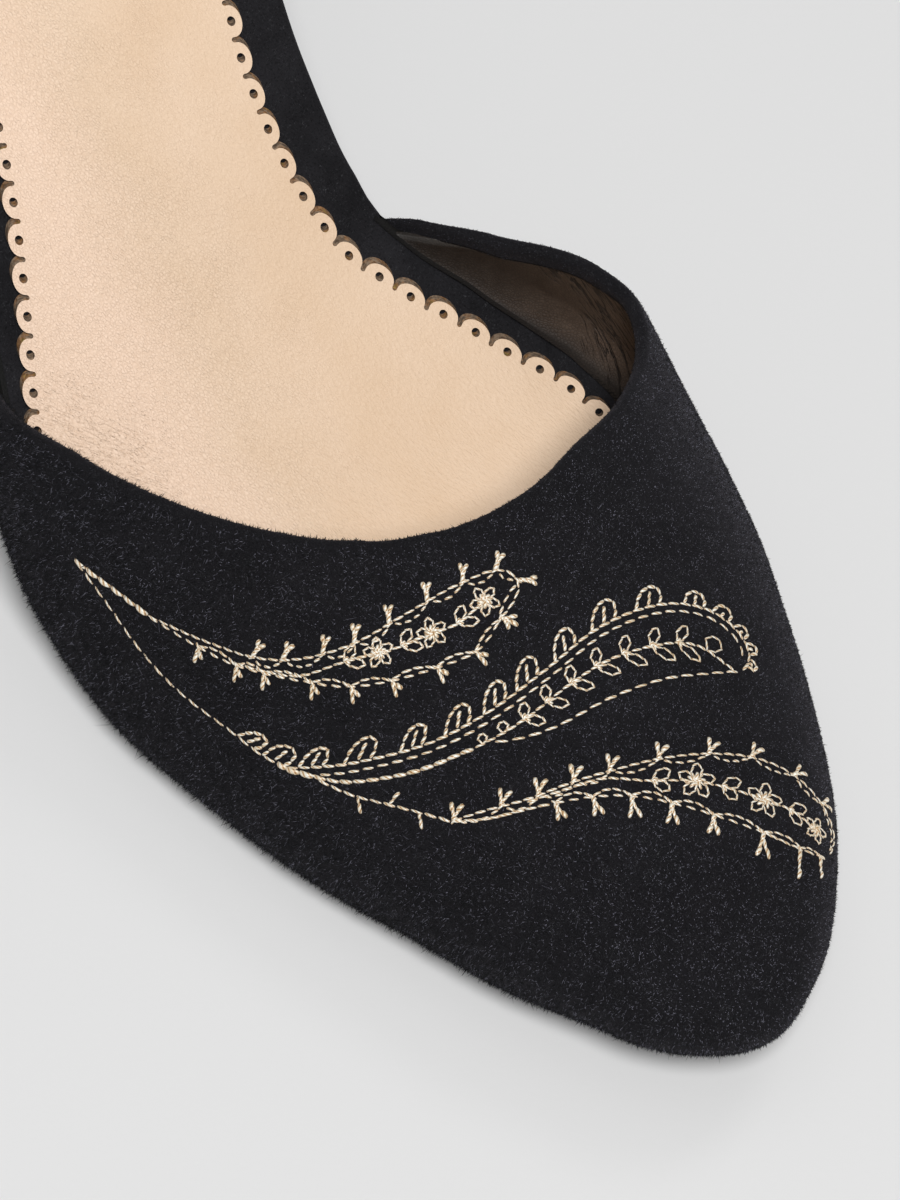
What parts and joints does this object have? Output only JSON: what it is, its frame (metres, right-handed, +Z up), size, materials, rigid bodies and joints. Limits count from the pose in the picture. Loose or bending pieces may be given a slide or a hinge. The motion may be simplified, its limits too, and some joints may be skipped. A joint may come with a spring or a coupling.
{
  "type": "d'orsay pump shoe",
  "caption": "Right-foot d'Orsay pump with a closed almond toe, open waists, a separate heel counter, a wrapped footbed and a covered block heel.",
  "frame": {"origin": "on the floor, on the flat tread of the forefoot, on the shoe's middle line", "axes": "+X towards the toe, +Y towards the inner (medial) side of this right shoe, +Z up"},
  "size_m": [0.2376, 0.0901, 0.1227],
  "materials": {
    "upper_suede": "black suede with a soft nap, embroidered in pale gold thread",
    "footbed_suede": "smooth black suede wrapping",
    "sock_leather": "fine grained tan leather with a scalloped, punched edge",
    "outsole": "matt black sole unit with a fine ribbed tread",
    "heel_cover": "black suede over a moulded block",
    "top_piece": "matt black rubber"
  },
  "bodies": {
    "root": {"vamp": "upper_suede", "counter": "upper_suede", "board": "footbed_suede", "sock": "sock_leather", "outsole": "outsole", "heel": "heel_cover", "top_piece": "top_piece"}
  },
  "joints": []
}
